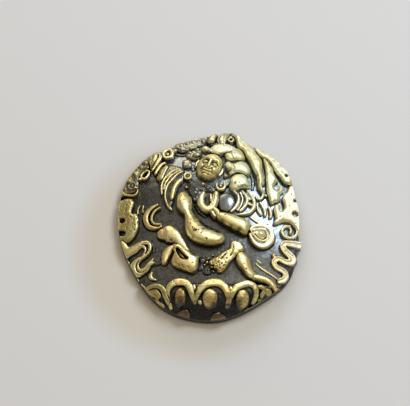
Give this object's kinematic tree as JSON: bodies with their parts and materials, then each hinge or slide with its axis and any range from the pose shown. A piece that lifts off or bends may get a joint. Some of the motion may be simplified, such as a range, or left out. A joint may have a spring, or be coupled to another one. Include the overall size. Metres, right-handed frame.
{
  "type": "amulet",
  "caption": "Small domed cast brass amulet: a dancing guardian in a ring of flames over a lotus base, hollow behind, with a cord loop.",
  "frame": {"origin": "centre of the outline in plan, on the plane that the flat band round the back rests on", "axes": "+Z out of the relief front, +Y towards the figure's head, +X towards the viewer's right"},
  "size_m": [0.038, 0.0419, 0.0084],
  "materials": {
    "rubbed_brass": "worn satin, pitted casting, dark in the creases",
    "toned_brass": "grey-black patina, satin"
  },
  "bodies": {
    "root": {"boot_flap": "rubbed_brass", "bracelet": "rubbed_brass", "breast_disc": "rubbed_brass", "crown_band": "rubbed_brass", "crown_jewel_centre": "rubbed_brass", "crown_jewel_left": "rubbed_brass", "crown_jewel_right": "rubbed_brass", "earring_left": "rubbed_brass", "earring_right": "rubbed_brass", "field_plate": "toned_brass", "flame_band_inner": "rubbed_brass", "flame_band_middle": "rubbed_brass", "flame_band_outer": "rubbed_brass", "flame_curl_left": "rubbed_brass", "flame_left": "rubbed_brass", "flame_lower_right": "rubbed_brass", "flame_ring_left": "rubbed_brass", "flame_ring_top": "rubbed_brass", "flame_scroll": "rubbed_brass", "flame_tip_left": "rubbed_brass", "flame_tip_right": "rubbed_brass", "flame_tongue": "rubbed_brass", "forearm": "rubbed_brass", "hair_lock_lower": "rubbed_brass", "hair_lock_middle": "rubbed_brass", "hair_lock_upper": "rubbed_brass", "head": "rubbed_brass", "left_boot": "rubbed_brass", "left_thigh": "rubbed_brass", "lotus_base": "toned_brass", "lotus_petal_centre": "rubbed_brass", "lotus_petal_far_left": "rubbed_brass", "lotus_petal_far_right": "rubbed_brass", "lotus_petal_left": "rubbed_brass", "lotus_petal_right": "rubbed_brass", "lotus_seed_centre": "rubbed_brass", "lotus_seed_left": "rubbed_brass", "lotus_seed_right": "rubbed_brass", "open_hand": "rubbed_brass", "raised_arm": "rubbed_brass", "raised_hand": "rubbed_brass", "rear_loop": "toned_brass", "right_calf": "rubbed_brass", "right_foot": "rubbed_brass", "right_thigh": "rubbed_brass", "scarf_crescent": "rubbed_brass", "scarf_end_left": "rubbed_brass", "scarf_end_right": "rubbed_brass", "scarf_knot": "rubbed_brass", "scarf_knot_boss": "rubbed_brass", "shawl_fold_inner": "rubbed_brass", "shawl_fold_middle": "rubbed_brass", "shawl_fold_outer": "rubbed_brass", "sleeve_fold_inner": "rubbed_brass", "sleeve_fold_middle": "rubbed_brass", "sleeve_fold_outer": "rubbed_brass", "topknot": "rubbed_brass", "torso": "rubbed_brass", "wrist_band_lower": "rubbed_brass", "wrist_band_upper": "rubbed_brass"}
  },
  "joints": []
}
